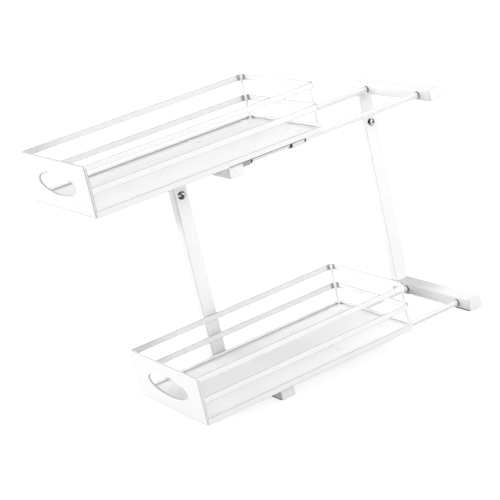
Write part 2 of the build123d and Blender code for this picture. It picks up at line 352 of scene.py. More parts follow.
@dataclass(frozen=True)
class PowderCoat:
    """Satin white powder coat: faint clouds, fine specks, orange peel, painted grey shade along edges and
    painted shade in soft boxes.
    """

    name: str
    colour: Triple = warm_white(0.89)
    corners: tuple[PaintedShade, ...] = ()
    edges: PaintedEdgeShade | None = None
    cloud_cell: float = 0.07
    cloud_span: Span = (0.2, 0.8)
    cloud_tint: float = 0.99
    speck_cell: float = 0.0012
    speck_span: Span = (0.70, 0.80)
    speck_tint: float = 0.96
    peel_cell: float = 0.0022
    peel_depth: float = 0.000008
    peel_share: float = 0.6
    roughness: float = 0.25
    roughness_spread: float = 0.02

    def make(self) -> bpy.types.Material:
        """Build the material.

        Returns:
            The material.
        """
        graph = SurfaceGraph(self.name)
        haze = graph.noise(self.cloud_cell, detail=3.0)
        cloud = haze.ramp(*self.cloud_span)
        speck = graph.noise(self.speck_cell, detail=1.0).ramp(*self.speck_span)
        peel = graph.noise(self.peel_cell, detail=2.5)
        tint = self.cloud_tint + (1.0 - self.cloud_tint) * cloud
        tint = tint * (1.0 - (1.0 - self.speck_tint) * speck)
        # Painted grey shade along the edges.
        if self.edges:
            tint = tint * (1.0 - self.edges.mask(graph))
        # Painted shade inside each soft box.
        for corner in self.corners:
            tint = tint * (1.0 - corner.mask(graph))
        roughness = self.roughness + self.roughness_spread * (haze - 0.5)
        graph.cover(graph.blend(tint, BLACK, self.colour), roughness)
        graph.relief(peel, self.peel_depth, self.peel_share)
        return graph.material


@dataclass(frozen=True)
class RailCoat:
    """Smooth glossy white coat on a round rail, with faint lines, a painted grey reflection line along its
    right side and painted shade on its underside.
    """

    name: str
    middle: Triple
    radius: float
    # Painted shade on the underside, and a painted reflection line along the right side.
    under_shade_share: float
    colour: Triple = (0.89, 0.89, 0.89)
    reflection_line_rise: float = 0.0008
    reflection_line_reach: float = 0.0004
    reflection_line_blur: float = 0.0007
    reflection_line_share: float = 0.20
    side_span: Span = (0.6, 0.8)
    under_span: Span = (-0.80, -0.93)
    line_cell: float = 0.0012
    line_stretch: Triple = (1.0, 0.02, 1.0)
    line_depth: float = 0.00001
    line_share: float = 0.5
    cloud_cell: float = 0.05
    cloud_span: Span = (0.3, 0.7)
    cloud_tint: float = 0.97
    roughness: float = 0.14
    roughness_spread: float = 0.12

    def make(self) -> bpy.types.Material:
        """Build the material.

        Returns:
            The material.
        """
        graph = SurfaceGraph(self.name)
        lines = graph.noise(self.line_cell, stretch=self.line_stretch)
        cloud = graph.noise(self.cloud_cell).ramp(*self.cloud_span)
        # The painted reflection line and the painted underside shade darken the coat.
        tint = (self.cloud_tint + (1.0 - self.cloud_tint) * cloud) * (1.0 - self.painted_shading(graph))
        graph.cover(graph.blend(tint, BLACK, self.colour), self.roughness + self.roughness_spread * lines)
        graph.relief(lines, self.line_depth, self.line_share)
        return graph.material

    def painted_shading(self, graph: SurfaceGraph) -> Value:
        """How much greyer the coat is: a painted reflection line along the rail's right side, and painted
        shade on its underside.

        The spans say where each begins and is full, in radii to the right of the middle line and above it.

        Args:
            graph: the coat's nodes.

        Returns:
            The mask.
        """
        x, _, z = graph.axes
        line_z = self.middle[2] + self.reflection_line_rise
        right = (x - self.middle[0]).ramp(*(share * self.radius for share in self.side_span))
        line = abs(z - line_z).ramp(self.reflection_line_reach + self.reflection_line_blur, self.reflection_line_reach)
        under = (z - self.middle[2]).ramp(*(share * self.radius for share in self.under_span))
        return (line * right * self.reflection_line_share).larger(under * self.under_shade_share)


@dataclass(frozen=True)
class MouldedPlastic:
    """Moulded plastic with a fine spark-eroded grain and slow flow marks."""

    name: str
    colour: Triple
    flow_tint: float = 0.95
    flow_cell: float = 0.02
    flow_span: Span = (0.3, 0.7)
    grain_cell: float = 0.0006
    grain_depth: float = 0.00004
    grain_share: float = 0.5
    roughness: float = 0.42
    roughness_spread: float = 0.2

    def make(self) -> bpy.types.Material:
        """Build the material.

        Returns:
            The material.
        """
        graph = SurfaceGraph(self.name)
        flow = graph.noise(self.flow_cell, detail=3.0)
        grain = graph.noise(self.grain_cell)
        colour = graph.blend(flow.ramp(*self.flow_span), tinted(self.colour, self.flow_tint), self.colour)
        graph.cover(colour, self.roughness + self.roughness_spread * (flow - 0.5))
        graph.relief(grain, self.grain_depth, self.grain_share)
        return graph.material


@dataclass(frozen=True)
class SoftRubber:
    """Matte dark rubber with a dusty bloom and a fine grain."""

    name: str = "soft_grey_rubber"
    colour: Triple = (0.15, 0.15, 0.151)
    bloom: Triple = (0.24, 0.24, 0.238)
    bloom_cell: float = 0.006
    bloom_span: Span = (0.45, 0.75)
    grain_cell: float = 0.0005
    grain_depth: float = 0.00008
    grain_share: float = 0.6
    roughness: float = 0.7
    roughness_spread: float = 0.2

    def make(self) -> bpy.types.Material:
        """Build the material.

        Returns:
            The material.
        """
        graph = SurfaceGraph(self.name)
        bloom = graph.noise(self.bloom_cell, detail=3.0).ramp(*self.bloom_span)
        grain = graph.noise(self.grain_cell)
        roughness = self.roughness + self.roughness_spread * bloom
        graph.cover(graph.blend(bloom, self.colour, self.bloom), roughness)
        graph.relief(grain, self.grain_depth, self.grain_share)
        return graph.material


@dataclass(frozen=True)
class BrightSteel:
    """Bright plated steel of the screws and bolts, with fine turning marks and darker patches."""

    name: str = "bright_plated_steel"
    colour: Triple = (0.60, 0.60, 0.60)
    patch: Triple = (0.04, 0.04, 0.041)
    patch_cell: float = 0.0036
    patch_span: Span = (0.37, 0.56)
    mark_cell: float = 0.0004
    mark_depth: float = 0.000008
    mark_share: float = 0.4
    roughness: float = 0.05
    roughness_spread: float = 0.08

    def make(self) -> bpy.types.Material:
        """Build the material.

        Returns:
            The material.
        """
        graph = SurfaceGraph(self.name)
        patch = graph.noise(self.patch_cell, detail=1.0).ramp(*self.patch_span)
        marks = graph.noise(self.mark_cell, detail=1.0)
        graph.surface.inputs["Metallic"].default_value = 1.0
        roughness = self.roughness + self.roughness_spread * marks
        graph.cover(graph.blend(patch, self.colour, self.patch), roughness)
        graph.relief(marks, self.mark_depth, self.mark_share)
        return graph.material


@dataclass
class FinishShelf:
    """The finishes that pieces share, by slot."""

    finishes: dict[Slot, bpy.types.Material] = field(default_factory=dict)

    def fill(self) -> None:
        """Make the shared finishes. The rails have none here, because each has a coat of its own."""
        coat = PowderCoat("satin_powder_coat").make()
        black = MouldedPlastic("black_bushing_plastic", (0.018, 0.018, 0.02), flow_tint=1.6, roughness=0.36)
        self.finishes = {
            Slot.FRAME_STEEL: coat,
            Slot.BASKET_STEEL: coat,
            Slot.CAP_PLASTIC: MouldedPlastic("white_cap_plastic", (0.88, 0.88, 0.87)).make(),
            Slot.BUSHING_PLASTIC: black.make(),
            Slot.STOP_RUBBER: SoftRubber().make(),
            Slot.FASTENER_STEEL: BrightSteel().make(),
        }

    def dress_node(self, name: str, slot: Slot, own: bpy.types.Material | None = None) -> None:
        """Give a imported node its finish.

        Args:
            name: the node's name.
            slot: the material slot it belongs to.
            own: a finish of its own, in place of the slot's shared one.
        """
        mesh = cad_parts[name].data
        mesh.materials.clear()
        mesh.materials.append(own or self.finishes[slot])
        LOG.info("node %s takes %s", name, mesh.materials[0].name)

    def dress_edged(self, name: str, slot: Slot, kind: EdgeKind = EdgeKind.ALL,
                    colour: Triple = PowderCoat.colour, corners: tuple[PaintedShade, ...] = (),
                    share: float = PaintedEdgeShade.share, width: float = PaintedEdgeShade.width) -> None:
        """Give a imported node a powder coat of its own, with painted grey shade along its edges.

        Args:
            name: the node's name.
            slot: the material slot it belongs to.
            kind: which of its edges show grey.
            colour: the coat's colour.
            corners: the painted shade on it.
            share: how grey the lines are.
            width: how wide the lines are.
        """
        edges = PaintedEdgeShade(*(tuple(corner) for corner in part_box(name)), kind, share, width)
        self.dress_node(name, slot, PowderCoat(f"{name}_coat", colour, corners, edges).make())

    def add_piece(self, mesh: bpy.types.Mesh, body: Body, slot: Slot,
                  own: bpy.types.Material | None = None) -> bpy.types.Object:
        """Put a new piece into the scene, dressed and riding on its body.

        Args:
            mesh: its mesh, in the object's frame, whose name it takes.
            body: the body it moves with.
            slot: the material slot it takes its finish from.
            own: a finish of its own, in place of the slot's shared one.

        Returns:
            The new object.
        """
        mesh.materials.append(own or self.finishes[slot])
        piece = put(mesh.name, mesh)
        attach(piece, body.value)
        LOG.info("piece %s rides on %s, %d faces", mesh.name, body.value, len(mesh.polygons))
        return piece


def grid_faces(rows: int, columns: int, wrap_rows: bool) -> np.ndarray:
    """The quads of a grid whose columns go round.

    Each joins the points (i, j), (i + 1, j), (i + 1, j + 1) and (i, j + 1).

    Args:
        rows: how many rows of points there are.
        columns: how many points each row has.
        wrap_rows: whether the last row joins the first.

    Returns:
        One row of four indices for each face.
    """
    i = np.arange(rows if wrap_rows else rows - 1)
    a, b = np.meshgrid(i, np.arange(columns), indexing="ij")
    c, d = (a + 1) % rows, (b + 1) % columns
    corners = [a * columns + b, c * columns + b, c * columns + d, a * columns + d]
    return np.stack(corners, axis=-1).reshape(-1, 4)


def solid_mesh(name: str, grids: list[np.ndarray], wrap_rows: bool = False) -> bpy.types.Mesh:
    """One smooth mesh of several closed surfaces, with doubles merged and faces turned outwards.

    Args:
        name: the mesh's name.
        grids: each surface's points (rows, columns, 3), whose columns go round.
        wrap_rows: whether the rows of each go round too.

    Returns:
        The mesh.
    """
    points, faces, first = [], [], 0
    for grid in grids:
        points.append(grid.reshape(-1, 3))
        faces.append(grid_faces(*grid.shape[:2], wrap_rows) + first)
        first += grid.shape[0] * grid.shape[1]
    mesh = bpy.data.meshes.new(name)
    mesh.from_pydata(np.concatenate(points).tolist(), [], np.concatenate(faces).tolist())
    work = bmesh.new()
    work.from_mesh(mesh)
    bmesh.ops.remove_doubles(work, verts=work.verts, dist=MERGE_DISTANCE)
    bmesh.ops.recalc_face_normals(work, faces=work.faces)
    for face in work.faces:
        face.smooth = True
    work.to_mesh(mesh)
    work.free()
    return mesh


def side_frames(path: np.ndarray) -> tuple[np.ndarray, np.ndarray]:
    """Two directions square to a path at each of its points.

    The first is the path's direction crossed with +Z, or +X where the path is nearly upright. The second is
    square to both.

    Args:
        path: the path's points.

    Returns:
        The sideways and the other direction at each point.
    """
    along = np.gradient(path, axis=0)
    along /= np.linalg.norm(along, axis=1, keepdims=True)
    side = np.cross(along, (0.0, 0.0, 1.0))
    length = np.linalg.norm(side, axis=1, keepdims=True)
    shortest, tiny = 0.1, 1e-9
    side = np.where(length > shortest, side / np.maximum(length, tiny), (1.0, 0.0, 0.0))
    return side, np.cross(side, along)


def bead(path: np.ndarray, radius: float, ripples: float = 0.0, swell: float = 0.08, end_power: int = 40,
         columns: int = 12) -> np.ndarray:
    """A weld bead or a rolled edge: a round profile carried along a path, closed at both ends.

    The point at share s of the path and angle a is path(s) + size * (cos a * side + sin a * up). The size is
    radius * (1 - (2s - 1)^end_power)^(1/2) * (1 + swell * sin(2 pi * ripples * s)).

    Args:
        path: the points of the middle line.
        radius: the bead's half width.
        ripples: how many ripples it has along it.
        swell: how much the ripples change its radius, as a share.
        end_power: how abruptly its ends close.
        columns: how many points go round.

    Returns:
        The points, one ring for each row.
    """
    share = np.linspace(0.0, 1.0, len(path))
    closing = np.sqrt(np.clip(1 - (2 * share - 1) ** end_power, 0, 1))
    size = radius * closing * (1 + swell * np.sin(2 * np.pi * ripples * share))
    angle = np.linspace(0.0, 2 * np.pi, columns, endpoint=False)
    side, up = side_frames(path)
    circle = np.cos(angle)[None, :, None] * side[:, None] + np.sin(angle)[None, :, None] * up[:, None]
    return path[:, None] + size[:, None, None] * circle


def straight(start: Triple, end: Triple, rings: int = 40) -> np.ndarray:
    """A straight path whose points crowd towards both ends: start + (1 - cos(pi t)) / 2 * (end - start).

    Args:
        start: its first point.
        end: its last point.
        rings: how many points it gets.

    Returns:
        The points.
    """
    share = 0.5 - 0.5 * np.cos(np.linspace(0.0, np.pi, rings))
    return np.asarray(start) + share[:, None] * (np.asarray(end) - np.asarray(start))


def lathe(centre: Triple, axis: Triple, radii: np.ndarray, heights: np.ndarray,
          columns: int = 28) -> np.ndarray:
    """A turned surface.

    The point at angle a is centre + height * axis + radius * (cos a * u + sin a * v), with u and v square to
    the axis and to each other.

    Args:
        centre: the point that heights are counted from.
        axis: the direction of the heights.
        radii: the radius of each row.
        heights: the height of each row.
        columns: how many points go round.

    Returns:
        The points, one ring for each row.
    """
    w = np.asarray(axis) / np.linalg.norm(axis)
    nearly_upright = 0.9
    u = np.cross(w, (0.0, 0.0, 1.0) if abs(w[2]) < nearly_upright else (1.0, 0.0, 0.0))
    u /= np.linalg.norm(u)
    angle = np.linspace(0.0, 2 * np.pi, columns, endpoint=False)
    ring = np.cos(angle)[:, None] * u + np.sin(angle)[:, None] * np.cross(w, u)
    return np.asarray(centre) + heights[:, None, None] * w + radii[:, None, None] * ring[None]


@dataclass
class StandFrame:
    """The fixed frame: crossbars, posts, end plugs and feet, with weld beads at the posts' feet."""

    # Painted light: the rear crossbars and the rear post take paler copies of the coat than the front ones.
    painted_light_colours: dict[str, Triple] = field(default_factory=lambda: {"front": (0.89,) * 3, "rear": (0.95,) * 3})
    upper_rear_painted_light_colour: Triple = (0.975, 0.975, 0.975)
    foot_colours: tuple[Triple, Triple] = ((0.02, 0.02, 0.021), (0.05, 0.049, 0.048))
    bead_radius: float = 0.0013
    bead_inset: float = 0.0026
    bead_ripples: float = 9.0
    # Painted shade at the lower rear crossbar's end by its post, on the front post's face under its basket,
    # and at the foot of its right face.
    corner_reach: float = 0.06
    corner_blur: float = 0.09
    corner_share: float = 0.36
    face_depth: float = 0.0012
    head_reach: float = 0.075
    head_blur: float = 0.055
    head_share: float = 0.30
    foot_reach: float = 0.03
    foot_blur: float = 0.11
    foot_share: float = 0.25

    def dress(self, shelf: FinishShelf) -> None:
        """Give every piece of the frame its finish and add the welds.

        Args:
            shelf: the finishes.
        """
        for row in ("front", "rear"):
            for tier in ("lower", "upper"):
                name = f"{tier}_{row}_crossbar"
                # Painted shade on the lower rear crossbar by its post.
                corners = (self.post_end_shade(name),) if tier == "lower" and row == "rear" else ()
                # Painted light: the rear crossbars take paler copies of the coat.
                colour = self.upper_rear_painted_light_colour if tier == "upper" and row == "rear" else self.painted_light_colours[row]
                shelf.dress_edged(name, Slot.FRAME_STEEL, EdgeKind.ALL, colour, corners)
                for side in ("left", "right"):
                    shelf.dress_node(f"{tier}_{row}_{side}_cap", Slot.CAP_PLASTIC)
            # Painted shade on the front post under its basket and at its foot.
            corners = self.post_face_shades(row) if row == "front" else ()
            shelf.dress_edged(f"{row}_post", Slot.FRAME_STEEL, EdgeKind.ALL, self.painted_light_colours[row], corners)
            shelf.dress_node(f"{row}_spigot", Slot.FRAME_STEEL)
            shelf.add_piece(self.post_weld(row), Body.FRAME, Slot.FRAME_STEEL)
        foot_rubber = SoftRubber("black_foot_rubber", *self.foot_colours).make()
        shelf.dress_node("rubber_feet", Slot.STOP_RUBBER, foot_rubber)

    def post_end_shade(self, name: str) -> PaintedShade:
        """Painted shade at the end of a crossbar by its post.

        Args:
            name: the crossbar.

        Returns:
            The corner, as wide as the crossbar.
        """
        low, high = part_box(name)
        wide = max(high[1] - low[1], high[2] - low[2])
        reach, blur = (self.corner_reach, wide, wide), (self.corner_blur, wide, wide)
        return PaintedShade(tuple(low), reach, blur, self.corner_share)

    def post_face_shades(self, row: str) -> tuple[PaintedShade, ...]:
        """Painted shade on the front face of a post under its basket, and at the foot of its right face.

        Args:
            row: front or rear.

        Returns:
            Both corners, as wide as the post.
        """
        low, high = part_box(f"{row}_post")
        x, y, _ = middle_of(f"{row}_post")
        wide, deep = high[0] - low[0], self.face_depth
        head_reach, head_blur = (wide, deep, self.head_reach), (wide, deep, self.head_blur)
        foot_reach, foot_blur = (deep, wide, self.foot_reach), (deep, wide, self.foot_blur)
        return (
            PaintedShade((x, low[1], high[2]), head_reach, head_blur, self.head_share),
            PaintedShade((high[0], y, low[2]), foot_reach, foot_blur, self.foot_share),
        )

    def post_weld(self, row: str) -> bpy.types.Mesh:
        """The bead where a post's right face stands on its lower crossbar.

        Args:
            row: front or rear.

        Returns:
            The bead's mesh.
        """
        low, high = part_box(f"{row}_post")
        start = (high[0], low[1] + self.bead_inset, low[2])
        end = (high[0], high[1] - self.bead_inset, low[2])
        weld = bead(straight(start, end), self.bead_radius, self.bead_ripples)
        return solid_mesh(f"{row}_post_weld", [weld])


@dataclass
class RailSet:
    """The four rails with their rubber rings, and the fasteners of the frame."""

    fasteners: tuple[str, ...] = ("post_bolts", "post_washers", "post_nuts", "rail_screws")
    # Painted shade on the undersides of the rails, darker on the lower tier.
    under_shade_shares: dict[str, float] = field(default_factory=lambda: {"lower": 0.75, "upper": 0.25})

    def dress(self, shelf: FinishShelf) -> None:
        """Give the rails, rings and fasteners their finishes.

        Args:
            shelf: the finishes.
        """
        for tier in ("lower", "upper"):
            for side in ("left", "right"):
                name = f"{tier}_{side}_rail"
                low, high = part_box(name)
                radius = (high[0] - low[0]) / 2
                coat = RailCoat(f"{name}_coat", middle_of(name), radius, self.under_shade_shares[tier])
                shelf.dress_node(name, Slot.RAIL_STEEL, coat.make())
        shelf.dress_node("rail_bumpers", Slot.STOP_RUBBER)
        for name in self.fasteners:
            shelf.dress_node(name, Slot.FASTENER_STEEL)


@dataclass
class SlidingBasket:
    """One basket with its bushings: its coat, the lip of its hand hole, its rolled rim and its welds."""

    tier: str
    body: Body
    # Painted grey shade along the edges of the rim, strips and panel, and along the rim's left upper fold.
    rim_edge_share: float = 0.38
    strip_edge_share: float = 0.30
    panel_edge_share: float = 0.50
    panel_edge_width: float = 0.0026
    fold_share: float = 0.55
    fold_reach: float = 0.0012
    # Painted light and shade: the panel, tray, rim and strip colours are lighter or darker copies of the
    # coat; inside_share is painted shade on the strips' left inner faces.
    panel_painted_light_colour: Triple = warm_white(0.89)
    # Painted shade: the hand hole's lip takes a dark copy of the coat.
    lip_painted_shade_colour: Triple = warm_white(0.56)
    tray_painted_light_colour: Triple = warm_white(0.92)
    tray_roughness: float = 0.2
    inside_share: float = 0.12
    rim_painted_light_colour: Triple = warm_white(0.85)
    strip_painted_light_colour: Triple = warm_white(0.885)
    hole_half_width: float = 0.0615
    hole_half_height: float = 0.01725
    lip_inner: float = -0.0004
    lip_outer: float = 0.0009
    lip_front: float = 0.0002
    lip_back: float = 0.0034
    lip_power: float = 0.4
    lip_rings: int = 192
    lip_columns: int = 20
    hem_radius: float = 0.0015
    hem_inset: float = 0.0033
    hem_turn_rings: int = 9
    hem_side_rings: int = 60
    rim_thickness: float = 0.0024
    rim_bend: float = 0.0105
    rivet_tint: float = 0.9
    # Painted shadow: the front straps take a dark copy of the coat, behind the crossbar.
    front_strap_shadow_colour: Triple = warm_white(0.42)
    # Painted shade under the rim, along its seam with the tray, and along its left upper fold.
    under_shade_share: float = 0.75
    under_overhang: float = 0.035
    seam_height: float = 0.0014
    seam_reach: float = 0.0004
    seam_share: float = 0.45
    line_blur: float = 0.0004
    line_fade: float = 0.001
    # Painted shade on the strips beside the uprights, behind the front panel, and on the whole left inner
    # side.
    nest_reach: float = 0.0040
    nest_depth: float = 0.0006
    nest_blur: float = 0.0045
    nest_share: float = 0.45
    end_reach: float = 0.012
    end_blur: float = 0.07
    end_share: float = 0.22
    nugget_radius: float = 0.0007
    nugget_angle: float = 42.0
    nugget_inset: float = 0.001
    nugget_rings: int = 24
    nugget_ripples: float = 3.0
    ring_width: float = 0.0009
    ring_height: float = 0.0007
    ring_rows: int = 12
    spot_radius: float = 0.0024
    spot_height: float = 0.00012
    spot_inset: float = 0.0036
    spot_rows: int = 10
    strip_thickness: float = 0.002

    def dress(self, shelf: FinishShelf) -> None:
        """Give every piece of the basket its finish and add the lip, the rolled rim and the welds.

        Args:
            shelf: the finishes.
        """
        for part in ("left_upright", "right_upright"):
            shelf.dress_node(f"{self.tier}_{part}", Slot.BASKET_STEEL)
        # Painted light: the tray takes a paler copy of the coat.
        tray_coat = PowderCoat(f"{self.tier}_tray_coat", self.tray_painted_light_colour, roughness=self.tray_roughness)
        shelf.dress_node(f"{self.tier}_tray", Slot.BASKET_STEEL, tray_coat.make())
        rivet_coat = PowderCoat(f"{self.tier}_rivet_coat", tinted(self.tray_painted_light_colour, self.rivet_tint)).make()
        shelf.dress_node(f"{self.tier}_rivets", Slot.BASKET_STEEL, rivet_coat)
        # Painted light: the panel's colour, paler on the lower basket, with painted grey edge shade.
        shelf.dress_edged(f"{self.tier}_front_panel", Slot.BASKET_STEEL, colour=self.panel_painted_light_colour,
                          share=self.panel_edge_share, width=self.panel_edge_width)
        # Painted shade on the rim: a lighter or darker copy of the coat, grey edge lines, and darker seam,
        # fold and under lines.
        shelf.dress_edged(f"{self.tier}_rim", Slot.BASKET_STEEL, colour=self.rim_painted_light_colour,
                          corners=self.rim_shades(), share=self.rim_edge_share)
        # Painted light and shade on the strips: a paler or darker copy of the coat, grey edge lines and
        # darker places.
        for part in ("top_strip", "middle_strip"):
            shelf.dress_edged(f"{self.tier}_{part}", Slot.BASKET_STEEL, EdgeKind.LEVEL, self.strip_painted_light_colour,
                              self.strip_shades(), self.strip_edge_share)
        # Painted shadow: the front straps take a dark copy of the coat.
        strap_shadow_coat = PowderCoat(f"{self.tier}_front_strap_shadow_coat", self.front_strap_shadow_colour).make()
        for side in ("left", "right"):
            for row in ("front", "rear"):
                shelf.dress_node(f"{self.tier}_{side}_{row}_bushing", Slot.BUSHING_PLASTIC)
                strap_coat = strap_shadow_coat if row == "front" else None
                shelf.dress_node(f"{self.tier}_{side}_{row}_strap", Slot.BASKET_STEEL, strap_coat)
        # Painted shade: the hand hole's lip takes a dark copy of the coat.
        lip_shade_coat = PowderCoat(f"{self.tier}_lip_shade_coat", self.lip_painted_shade_colour).make()
        shelf.add_piece(self.hole_lip(), self.body, Slot.BASKET_STEEL, lip_shade_coat)
        for mesh in (self.rim_hem(), self.upright_welds(), self.spot_welds()):
            shelf.add_piece(mesh, self.body, Slot.BASKET_STEEL)

    def rim_shades(self) -> tuple[PaintedShade, ...]:
        """The painted shade on the rim, darker than its coat.

        They are its seam with the tray on the left and at the back, its left upper edge, and its right lower
        edge from a little before the front bushing to the rear one.

        Returns:
            The corners.
        """
        low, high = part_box(f"{self.tier}_rim")
        middle_x, middle_y, _ = middle_of(f"{self.tier}_rim")
        half_x, half_y = (high[0] - low[0]) / 2, (high[1] - low[1]) / 2
        seam, half_seam = self.seam_reach, self.seam_height / 2
        seam_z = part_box(f"{self.tier}_tray")[1][2] + half_seam
        front, rear = (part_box(f"{self.tier}_right_{row}_bushing") for row in ("front", "rear"))
        start, end = front[0][1] - self.under_overhang, rear[0][1]
        left = (low[0] + self.rim_thickness, middle_y, seam_z)
        back = (middle_x, high[1] - self.rim_thickness, seam_z)
        fold = (low[0], middle_y, high[2])
        under = (high[0], (start + end) / 2, low[2])
        fold_reach = (self.fold_reach, half_y, self.fold_reach)
        under_reach = (self.rim_bend, (end - start) / 2, self.fold_reach)
        lengthways = (self.line_blur, self.line_fade, self.line_blur)
        crossways = (self.line_fade, self.line_blur, self.line_blur)
        return (
            PaintedShade(left, (seam, half_y, half_seam), lengthways, self.seam_share),
            PaintedShade(back, (half_x, seam, half_seam), crossways, self.seam_share / 2),
            PaintedShade(fold, fold_reach, lengthways, self.fold_share),
            PaintedShade(under, under_reach, lengthways, self.under_shade_share),
        )

    def strip_shades(self) -> tuple[PaintedShade, ...]:
        """The painted shade on the strips, darker than their coat.

        They are their inner faces beside each upright, behind the front panel and on the whole left side.

        Returns:
            The corners.
        """
        low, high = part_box(f"{self.tier}_top_strip")
        left_x, right_x = low[0] + self.strip_thickness, high[0] - self.strip_thickness
        back_y = high[1] - self.strip_thickness
        along, across, soft = self.nest_reach, self.nest_depth, self.nest_blur
        sideways, backwards = (across, soft, soft), (soft, across, soft)
        corners = []
        for side, inner_x in (("left", left_x), ("right", right_x)):
            x, y, z = middle_of(f"{self.tier}_{side}_upright")
            foot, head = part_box(f"{self.tier}_{side}_upright")
            height = head[2] - foot[2]
            corners.append(PaintedShade((inner_x, y, z), (across, along, height), sideways, self.nest_share))
            corners.append(PaintedShade((x, back_y, z), (along, across, height), backwards, self.nest_share))
        end = (left_x, low[1], z)
        end_reach, side_reach = (across, self.end_reach, height), (across, high[1] - low[1], height)
        corners.append(PaintedShade(end, end_reach, (across, self.end_blur, soft), self.end_share))
        corners.append(PaintedShade(end, side_reach, sideways, self.inside_share))
        return tuple(corners)

    def hole_lip(self) -> bpy.types.Mesh:
        """The rolled lip of the hand hole.

        The path is the ellipse (a cos t, b sin t), and n(t) is its outward normal. The profile is a rounded
        box, (cos v, sin v) with each raised to lip_power and its sign kept, scaled to the lip's width along n
        and to its depth along Y. A power of 0.4 makes it the curve |d|^5 + |y|^5 = 1.

        Returns:
            The lip's mesh.
        """
        x, _, z = middle_of(f"{self.tier}_front_panel")
        middle = np.array((x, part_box(f"{self.tier}_front_panel")[0][1], z))
        t = np.linspace(0.0, 2 * np.pi, self.lip_rings, endpoint=False)
        a, b = self.hole_half_width, self.hole_half_height
        path = np.stack([a * np.cos(t), np.zeros_like(t), b * np.sin(t)], axis=-1)
        normal = np.stack([b * np.cos(t), np.zeros_like(t), a * np.sin(t)], axis=-1)
        normal /= np.linalg.norm(normal, axis=1, keepdims=True)
        v = np.linspace(0.0, 2 * np.pi, self.lip_columns, endpoint=False)
        across, deep = (np.sign(wave) * np.abs(wave) ** self.lip_power for wave in (np.cos(v), np.sin(v)))
        d = (self.lip_inner + self.lip_outer) / 2 + across * (self.lip_outer - self.lip_inner) / 2
        y = (self.lip_front + self.lip_back) / 2 + deep * (self.lip_back - self.lip_front) / 2
        backwards = np.array((0.0, 1.0, 0.0))
        points = middle + path[:, None] + normal[:, None] * d[None, :, None] + backwards * y[None, :, None]
        return solid_mesh(f"{self.tier}_hand_hole_lip", [points], wrap_rows=True)

    def rim_hem(self) -> bpy.types.Mesh:
        """The rolled inner edge along the top of the rim: left side, rear corners, back and right side.

        The path is the inner line of the rim, moved inwards: straight, a quarter circle, straight, a quarter
        circle, straight.

        Returns:
            The hem's mesh.
        """
        low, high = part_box(f"{self.tier}_rim")
        z = high[2] - self.hem_radius
        x0, x1, y1 = low[0] + self.hem_inset, high[0] - self.hem_inset, high[1] - self.hem_inset
        bend = self.rim_bend - self.hem_inset
        quarter = np.linspace(0.0, np.pi / 2, self.hem_turn_rings)
        cosine, sine = bend * np.cos(quarter), bend * np.sin(quarter)
        left_turn = np.column_stack([x0 + bend - cosine, y1 - bend + sine])
        right_turn = np.column_stack([x1 - bend + sine, y1 - bend + cosine])
        side_y = np.linspace(low[1], y1 - bend, self.hem_side_rings, endpoint=False)
        left = np.column_stack([np.full_like(side_y, x0), side_y])
        right = np.column_stack([np.full_like(side_y, x1), side_y[::-1]])
        flat = np.concatenate([left, left_turn, right_turn, right])
        path = np.column_stack([flat, np.full(len(flat), z)])
        return solid_mesh(f"{self.tier}_rim_hem", [bead(path, self.hem_radius)])

    def upright_welds(self) -> bpy.types.Mesh:
        """The welds of both uprights: a ring on the tray, and two short upright beads at each strip.

        A bead stands beside the upright at the upright's radius plus half its own, turned by a fixed angle to
        either side of the rear corner's diagonal.

        Returns:
            One mesh with all of them.
        """
        grids = []
        v = np.linspace(0.0, 2 * np.pi, self.ring_rows)
        for side, sign in (("left", -1.0), ("right", 1.0)):
            low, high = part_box(f"{self.tier}_{side}_upright")
            middle_x, middle_y, _ = middle_of(f"{self.tier}_{side}_upright")
            radius = (high[0] - low[0]) / 2
            reach = radius + self.nugget_radius / 2
            for strip in ("top_strip", "middle_strip"):
                strip_low, strip_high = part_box(f"{self.tier}_{strip}")
                bottom = strip_low[2] + self.nugget_inset
                top = min(strip_high[2], high[2]) - self.nugget_inset
                for turn in (-1.0, 1.0):
                    angle = math.atan2(1.0, sign) + turn * math.radians(self.nugget_angle)
                    x, y = middle_x + reach * math.cos(angle), middle_y + reach * math.sin(angle)
                    path = straight((x, y, bottom), (x, y, top), self.nugget_rings)
                    grids.append(bead(path, self.nugget_radius, self.nugget_ripples))
            radii, heights = radius + self.ring_width * np.cos(v), self.ring_height * np.sin(v)
            grids.append(lathe((middle_x, middle_y, low[2]), (0.0, 0.0, 1.0), radii, heights))
        return solid_mesh(f"{self.tier}_upright_welds", grids)

    def spot_welds(self) -> bpy.types.Mesh:
        """Spot welds on the inner faces of the strips, near their front ends.

        Each is a shallow round crater: at share r of its radius it stands proud by
        height * (0.3 + 0.7 r^2) * (1 - r^8), and a shallow bowl closes it inside the strip.

        Returns:
            One mesh with all the spots.
        """
        r = np.linspace(0.0, 1.0, self.spot_rows)
        proud = self.spot_height * (0.3 + 0.7 * r**2) * (1 - r**8)
        radii = self.spot_radius * np.concatenate([r, r[-2::-1]])
        heights = np.concatenate([proud, -self.spot_height * (1 - r[-2::-1] ** 2)])
        grids = []
        for strip in ("top_strip", "middle_strip"):
            low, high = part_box(f"{self.tier}_{strip}")
            y, z = low[1] + self.spot_inset, (low[2] + high[2]) / 2
            grids.append(lathe((low[0] + self.strip_thickness, y, z), (1.0, 0.0, 0.0), radii, heights))
            grids.append(lathe((high[0] - self.strip_thickness, y, z), (-1.0, 0.0, 0.0), radii, heights))
        return solid_mesh(f"{self.tier}_spot_welds", grids)


